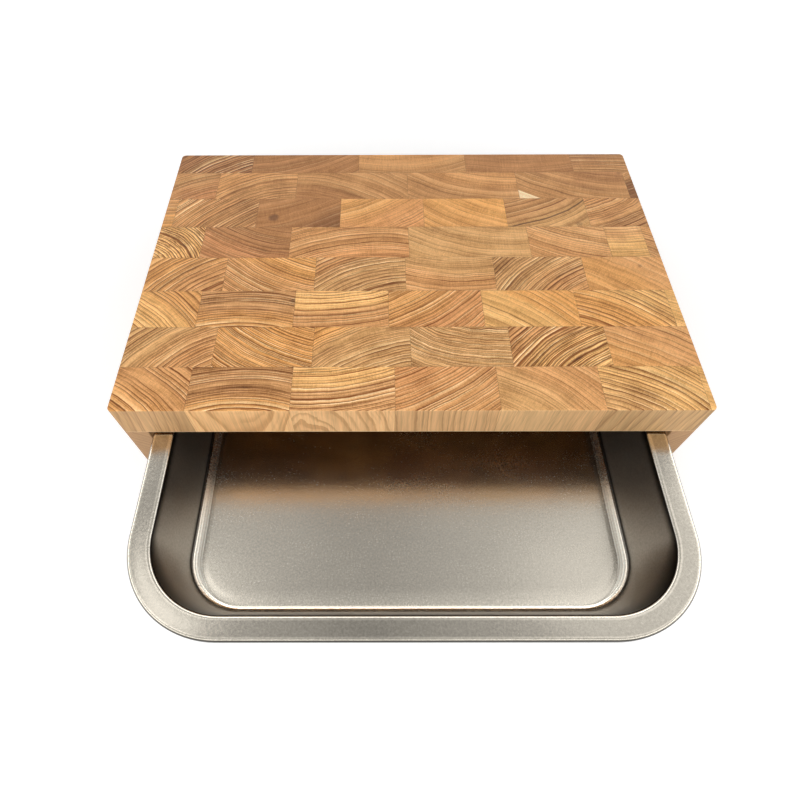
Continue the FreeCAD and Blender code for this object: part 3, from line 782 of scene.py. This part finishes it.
class BUILD_OT_board_rows(bpy.types.Operator):
    """Builds the rows of end-grain blocks, each block with its own rings and tones"""
    bl_idname = "cutting_board.board_rows"
    bl_label = "Board Rows"

    def execute(self, context):
        looks = context.scene.board_looks
        material = end_grain_material()
        low, high = block_span(len(ROWS))
        rng = np.random.default_rng(11)
        for number, blocks in enumerate(ROWS, start=1):
            row_low, row_high = box(f"board_row_{number}")
            parts, traits, start = [], [], 0.0
            for place, (end, *block) in enumerate(blocks, start=1):
                block_low = np.array([low[0] + start * MM, row_low[1], low[2]])
                block_high = np.array([low[0] + end * MM, row_high[1], high[2]])
                # cuts run close together only where the board's own outline is rounded
                lines = [places(block_low[axis], block_high[axis],
                                CLOSE if block_low[axis] - low[axis] < MM * 0.1 else [],
                                CLOSE if high[axis] - block_high[axis] < MM * 0.1 else [])
                         for axis in range(3)]
                points, faces = grid_box(lines)
                points = round_slab(points, low, high, looks.corner_radius, looks.top_ease,
                                    looks.bottom_ease)
                parts.append(weld(points, faces))
                traits.append(self.traits((number, place), block_low, block_high, block,
                                          rng.uniform(0, 9)))
                start = end
            row = new_piece(f"board_row_{number}_blocks", *gather(parts), "carcass",
                            "board_wood", material, BOARD_SMOOTH)
            for trait in traits[0]:
                kind = "FLOAT_COLOR" if "tone" in trait else "FLOAT_VECTOR"
                give(row.data, trait, kind, np.concatenate(
                    [np.tile(values[trait], (len(points), 1))
                     for values, (points, _) in zip(traits, parts)]))
            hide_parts(f"board_row_{number}")
        return {"FINISHED"}

    @staticmethod
    def traits(key, low, high, block, seed):
        """What the end grain reads from a block: the same values at each of its points."""
        tone, second_tone, right, back, spacing, strength, second_from, width, wander = block
        middle = (low + high) / 2
        mark, size, depth = MARKS.get(key, NO_MARK)
        wedge = WEDGES.get(key, NO_WEDGE)
        return {
            "pith": [middle[0] + right * MM, middle[1] + back * MM, 0],
            "rings": [spacing * MM, strength, wander],
            "second": [second_from * MM, width * MM, seed],
            "block_low": low, "block_high": high,
            "mark": [middle[0] + mark[0] * MM, middle[1] + mark[1] * MM, size * MM],
            "wedge": [wedge[0] * MM, wedge[1] * MM, depth],
            "extra": [SIDES.get(key, 1.0), *CRACKS.get(key, NO_CRACK)],
            "tone": [*linear(TONES[tone]), 1],
            "second_tone": [*linear(TONES[second_tone]), 1]}


# a panel's grain axis, where its pith lies, seed and ring spacing in millimetres
PANELS = {"left_side_panel": (1, (-0.30, 0, -0.06), 3.1, 3.0),
          "right_side_panel": (1, (0.27, 0, 0.01), 7.7, 3.6),
          "back_panel": (0, (0, 0.30, -0.05), 5.2, 4.2)}
BEECH = {"spacing": 2.4 * MM, "tone": (0.80, 0.64, 0.46), "late_tone": (0.68, 0.50, 0.34),
         "strength": 0.5}


class BUILD_OT_carcass(bpy.types.Operator):
    """Builds the side panels and the back panel, and finishes the runners and tongues"""
    bl_idname = "cutting_board.carcass"
    bl_label = "Carcass"

    def execute(self, context):
        looks = context.scene.carcass_looks
        board_low, board_high = block_span(len(ROWS))
        corner = context.scene.board_looks.corner_radius
        ease = looks.panel_ease
        back_low, back_high = box("back_panel")
        shoulder = back_low[1] - 0.02 * MM
        for name, (along, pith, seed, spacing) in PANELS.items():
            material = plank_material(f"{name}_wood", along, pith, spacing * MM, looks.panel_tone,
                                      looks.panel_late_tone, 0.5, seed)
            low, high = box(name)
            lines = [places(low[axis], high[axis], cuts, cuts)
                     for axis, cuts in enumerate((CLOSE, CLOSE, NEAR))]
            if name != "back_panel":
                lines[1] = np.union1d(lines[1], [shoulder, back_low[1]])
            points, faces = grid_box(lines)
            points = ease_box(points, low, high, ease)
            points = round_slab(points, np.array([*board_low[:2], low[2]]),
                                np.array([*board_high[:2], high[2]]), corner, ease, ease)
            if name != "back_panel":
                # the rear end steps back to leave the back panel its housing
                housed = points[:, 1] > shoulder + 0.01 * MM
                outward = np.maximum(np.abs(points[:, 0]), back_high[0])
                points[housed, 0] = (np.sign(points[:, 0]) * outward)[housed]
            points, faces = weld(points, faces)
            piece = new_piece(f"{name}_plank", points, faces, "carcass", "carcass_wood", material)
            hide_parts(name)
        beech = plank_material("beech", 1, (0.02, 0, -0.2), seed=2.2, **BEECH)
        for name in ("left_runner", "right_runner", "left_side_tongue", "right_side_tongue"):
            finish_node(name, beech)
        finish_node("back_tongue", plank_material("cross_beech", 0, (0, 0.5, 0), seed=1.4,
                                                  **BEECH))
        return {"FINISHED"}


class BUILD_OT_hardware(bpy.types.Operator):
    """Builds the rubber feet and finishes the runner screws"""
    bl_idname = "cutting_board.hardware"
    bl_label = "Feet and Screws"

    def execute(self, context):
        zinc = zinc_material()
        for name in ("left_runner_screws", "right_runner_screws"):
            finish_node(name, zinc)
        low, high = box("feet")
        edge = context.scene.carcass_looks.foot_edge
        top, tread, height = 8 * MM, 7.2 * MM, high[2] - low[2]
        # a shallow cup under the foot, its rounded tread, and a wall that leans out to the top
        profile = np.concatenate([
            [[0, 0.3 * MM], [3.2 * MM, 0.3 * MM], [3.8 * MM, 0]],
            arc((tread - edge, edge), edge, -90, -8, 7),
            [[top, height], [0, height]]])
        feet = gather([turned(profile, (x, y, low[2]), 48)
                       for x in (low[0] + top, high[0] - top)
                       for y in (low[1] + top, high[1] - top)])
        piece = new_piece("rubber_feet", *feet, "carcass", "foot_rubber", rubber_material())
        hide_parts("feet")
        return {"FINISHED"}


# the tray's bends: the hem's roll and the lip, over and under the sheet
ROLL, LIP_OVER, LIP_UNDER = 2.2 * MM, 2.8 * MM, 2.0 * MM
HEM_DEPTH = 4.5 * MM
# the bend at the wall's foot, by its lean from level in degrees: tight, slow and tight again
FOOT_LEANS = (64, 54, 44, 36, 29, 26, 23, 20, 17, 14, 9, 4, 0)
SLOW_FROM, SLOW_TO = 28, 14.5
FOOT_RADII = (4.0 * MM, 13.0 * MM, 5.0 * MM)
# the floor's pressed step: how far past the wall's foot, how wide and how high
STEP_GAP, STEP_WIDTH, STEP_RISE = 7.4 * MM, 4.6 * MM, 0.16 * MM
CORNER_STEPS, EDGE_STEPS = 28, 10


def tray_profile(looks, depth):
    """The tray's section from the hem's edge in to the raised floor, and back underneath.

    Each point is how far it lies in from the rim's edge, and its height over the rim.
    """
    sheet, rim, lean = looks.sheet, looks.rim_width, looks.wall_lean
    foot, floor = rim + lean, sheet - depth
    slope = math.atan2(lean, depth - sheet)
    turn = 90 - math.degrees(slope)
    lip = (rim - LIP_OVER * math.tan(math.radians(turn / 2)), -LIP_OVER)
    # the sum of each small turn times its radius carries the foot's bend across and down
    leans = np.radians([turn, *FOOT_LEANS])
    radii = np.where((leans[1:] + leans[:-1]) / 2 > math.radians(SLOW_FROM), FOOT_RADII[0],
                     np.where(leans[:-1] > math.radians(SLOW_TO), *FOOT_RADII[1:]))
    across = np.concatenate([[0], np.cumsum(radii * -np.diff(np.sin(leans)))])
    down = np.concatenate([[0], np.cumsum(radii * np.diff(np.cos(leans)))])
    foot_over = np.column_stack([foot - down[-1] * math.tan(slope) + across,
                                 floor + down[-1] - down])
    foot_under = foot_over - np.column_stack([np.sin(leans), np.cos(leans)]) * sheet
    step = foot + STEP_GAP
    share = np.linspace(0, 1, 9)
    ramp = np.column_stack([step + STEP_WIDTH * share,
                            floor + STEP_RISE * share ** 2 * (3 - 2 * share)])
    panel = step + STEP_WIDTH + np.array([2, 5, 9]) * MM
    # over: hem, roll, rim, lip, wall, foot, step and panel
    top = np.concatenate([
        arc((ROLL, -ROLL), ROLL, 180, 90, 9), arc(lip, LIP_OVER, 90, 90 - turn, 9), foot_over,
        ramp, np.column_stack([panel, [floor + STEP_RISE] * 3])])
    # under: the same bends a sheet further out, from the panel back to the hem
    bottom = np.concatenate([
        ramp[::-1] - [0, sheet], foot_under[::-1], arc(lip, LIP_UNDER, 90 - turn, 90, 9),
        arc((ROLL, -ROLL), ROLL - sheet, 90, 180, 7), [[sheet, -HEM_DEPTH], [0, -HEM_DEPTH]]])
    return top, bottom


class BUILD_OT_tray(bpy.types.Operator):
    """Builds the deep-drawn tray as one closed sheet of steel"""
    bl_idname = "cutting_board.tray"
    bl_label = "Tray"

    def execute(self, context):
        looks = context.scene.tray_looks
        low, high = box("tray")
        top, bottom = tray_profile(looks, high[2] - low[2])
        half = (high - low)[:2] / 2
        section = np.concatenate([top, bottom])
        inset = section[:, 0]
        # the corner radius shrinks with the inset, and opens out a little towards the floor
        wall = np.clip((inset - looks.rim_width) / looks.wall_lean, 0, 1)
        spread = looks.floor_radius - (looks.rim_radius - looks.rim_width - looks.wall_lean)
        radius = looks.rim_radius - inset + spread * wall
        angle = np.radians(np.linspace(0, 90, CORNER_STEPS))
        bends, heading = [], []
        for quarter, side in enumerate(((1, 1), (-1, 1), (-1, -1), (1, -1))):
            turn = angle + quarter * math.pi / 2
            centre = np.stack([half[0] - inset - radius, half[1] - inset - radius], 1) * side
            bends.append(centre[:, None] + radius[:, None, None] * np.stack(
                [np.cos(turn), np.sin(turn)], -1))
            heading += [np.sin(turn), np.full(EDGE_STEPS, round(math.sin(turn[-1])))]
        loop = []
        share = np.linspace(0, 1, EDGE_STEPS + 2)[1:-1, None]
        for bend, following in zip(bends, bends[1:] + bends[:1]):
            start, end = bend[:, -1:], following[:, :1]
            loop += [bend, start + (end - start) * share]
        plan = np.concatenate(loop, axis=1) + (low + high)[:2] / 2
        points = np.concatenate([plan, np.broadcast_to(
            (high[2] + section[:, 1])[:, None, None], plan.shape[:2] + (1,))], -1)
        index = np.arange(plan[..., 0].size).reshape(plan.shape[:2])
        # the section closes on itself but for the panel, which is one face above and one below
        panel = len(top) - 1
        faces = np.delete(bands(np.vstack([index, index[:1]])), panel, axis=0)
        faces = faces.reshape(-1, 4).tolist()
        faces += [index[panel].tolist(), index[panel + 1][::-1].tolist()]
        piece = new_piece("steel_tray", points.reshape(-1, 3), faces, "tray", "tray_steel",
                          steel_material(), TRAY_SMOOTH)
        # how far in from the rim's edge, how much in a corner, and how much at the front or back
        in_corner = np.concatenate([np.sin(2 * angle), np.zeros(EDGE_STEPS)] * 4)
        heading = np.concatenate(heading)
        give(piece.data, "drawn", "FLOAT_VECTOR", np.stack(np.broadcast_arrays(
            inset[:, None], in_corner[None], -(heading * np.abs(heading))[None]), -1))
        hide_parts("tray")
        return {"FINISHED"}


# the camera's sensor in millimetres, and how near and how far it sees
SENSOR_WIDTH, NEAREST, FURTHEST = 36, 0.01, 20
# the floor's radius, and how far it lies under the feet
FLOOR_REACH, FLOOR_DROP = 4, 0.2 * MM
# a lamp's place and size, the setting of its power and its share of it, and whether it shows in
# what shines
LAMPS = {"top_softbox": ((-0.10, -0.98, 1.05), (0.8, 0.8), "top_power", 1, False),
         "left_softbox": ((-0.66, 0.03, 1.25), (0.34, 0.26), "side_power", 0.66, True),
         "right_softbox": ((0.88, 0.12, 1.25), (0.6, 0.9), "side_power", 1.38, True)}


class BUILD_OT_studio(bpy.types.Operator):
    """Sets up the camera, the soft lamps and the pale floor"""
    bl_idname = "cutting_board.studio"
    bl_label = "Studio"

    def execute(self, context):
        scene = context.scene
        scene.view_settings.view_transform = "Standard"
        self.add_camera(scene, scene.studio_looks)
        self.add_lamps(scene.studio_looks)
        self.add_world(scene, scene.studio_looks)
        self.add_floor()
        return {"FINISHED"}

    @staticmethod
    def add_camera(scene, looks):
        """A camera turned by its yaw, tipped down by its pitch and then rolled."""
        data = bpy.data.cameras.new("camera")
        camera = new_object("camera", data)
        data.sensor_width, data.lens = SENSOR_WIDTH, looks.lens
        data.shift_x, data.shift_y = looks.camera_shift
        data.clip_start, data.clip_end = NEAREST, FURTHEST
        yaw, pitch, roll = looks.camera_yaw, looks.camera_pitch, looks.camera_roll
        forward = Vector((math.sin(yaw) * math.cos(pitch), math.cos(yaw) * math.cos(pitch),
                          -math.sin(pitch)))
        right = Vector((math.cos(yaw), -math.sin(yaw), 0))
        down = forward.cross(right)
        rolled = right * math.cos(roll) + down * math.sin(roll)
        rolled_down = down * math.cos(roll) - right * math.sin(roll)
        turn = Matrix((rolled, -rolled_down, -forward)).transposed().to_4x4()
        camera.matrix_world = Matrix.Translation(looks.camera_place) @ turn
        scene.camera = camera

    @staticmethod
    def add_lamps(looks):
        """The large top softbox lights the wood; only the two side ones show in what shines."""
        for name, (place, size, power, share, shows) in LAMPS.items():
            data = bpy.data.lights.new(name, "AREA")
            data.shape = "RECTANGLE"
            data.size, data.size_y = size
            data.energy = getattr(looks, power) * share
            lamp = new_object(name, data)
            lamp.location = place
            lamp.rotation_mode = "QUATERNION"
            lamp.rotation_quaternion = (-Vector(place)).to_track_quat("-Z", "Y")
            lamp.visible_glossy = shows

    @staticmethod
    def add_world(scene, looks):
        """White all round, with a calmer ceiling, a dim strip overhead from front to back and a
        bright line about 37 degrees up, all three for what shines alone."""
        scene.world = bpy.data.worlds.new("studio")
        nodes = Nodes(scene.world)
        across, _, up = nodes.add("ShaderNodeTexCoord", (), "Generated").split()
        ceiling = up.ramp(0.50, 0.86, 1.0, looks.ceiling_level)
        strip = abs(across / up + 0.03).ramp(0.03, 0.15, looks.strip_level, 1.0)
        line = abs(up - 0.60).ramp(0.06, 0.11, looks.line_level, 0.0)
        mirrored = nodes.ray("Is Glossy Ray") * (ceiling * strip + line - looks.sky_level)
        seen = nodes.math("MAXIMUM", nodes.ray("Is Camera Ray"), nodes.ray("Is Transmission Ray"))
        nodes.close("ShaderNodeOutputWorld", nodes.add("ShaderNodeBackground", {
            "Color": WHITE, "Strength": nodes.math("MAXIMUM", seen, mirrored + looks.sky_level)}))

    @staticmethod
    def add_floor():
        """A wide pale disc, its points on one ring.  It is a little self-lit to white, more so
        further out, and keeps the object's shadow."""
        steps = 96
        angle = np.linspace(0, 2 * math.pi, steps, endpoint=False)
        rim = np.column_stack([FLOOR_REACH * np.cos(angle), FLOOR_REACH * np.sin(angle),
                               np.full(steps, -FLOOR_DROP)])
        mesh = bpy.data.meshes.new("floor")
        mesh.from_pydata(rim.tolist(), [], [list(range(steps))])
        nodes = material_nodes("pale_floor")
        seen = nodes.math("MAXIMUM", nodes.ray("Is Camera Ray"), nodes.math(
            "MAXIMUM", nodes.ray("Is Glossy Ray"), nodes.ray("Is Transmission Ray")))
        far = nodes.place().length().rise(0.28, 0.95)
        mesh.materials.append(nodes.finish(PALE_FLOOR, 0.8, Emission_Color=WHITE,
                                           Emission_Strength=seen * (far * 0.60 + 0.30)))
        new_object("floor", mesh)


class BUILD_PT_panel(bpy.types.Panel):
    """Lists the builders in the 3D view's sidebar"""
    bl_idname = "BUILD_PT_cutting_board"
    bl_label = "Cutting Board"
    bl_space_type = "VIEW_3D"
    bl_region_type = "UI"
    bl_category = "Cutting Board"

    def draw(self, context):
        for group, (_, *operators) in SECTIONS.items():
            section = self.layout.box()
            settings = getattr(context.scene, group)
            for prop in settings.bl_rna.properties:
                if prop.identifier not in ("rna_type", "name"):
                    section.prop(settings, prop.identifier)
            for operator in operators:
                section.operator(operator.bl_idname)


# each group of settings and its operators, in the order in which they run
SECTIONS = {"studio_looks": (StudioLooks, BUILD_OT_studio),
            "board_looks": (BoardLooks, BUILD_OT_board_rows),
            "carcass_looks": (CarcassLooks, BUILD_OT_carcass, BUILD_OT_hardware),
            "tray_looks": (TrayLooks, BUILD_OT_tray)}
CLASSES = (*(cls for section in SECTIONS.values() for cls in section), BUILD_PT_panel)


def register():
    for cls in CLASSES:
        bpy.utils.register_class(cls)
    for name, (group, *_) in SECTIONS.items():
        setattr(bpy.types.Scene, name, bpy.props.PointerProperty(type=group))


def unregister():
    for name in SECTIONS:
        delattr(bpy.types.Scene, name)
    for cls in reversed(CLASSES):
        bpy.utils.unregister_class(cls)


def main():
    """Builds every piece in order."""
    register()
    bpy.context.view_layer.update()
    for _, *operators in SECTIONS.values():
        for operator in operators:
            group, name = operator.bl_idname.split(".")
            getattr(getattr(bpy.ops, group), name)()
    bpy.context.view_layer.update()


if __name__ == "__main__":
    main()
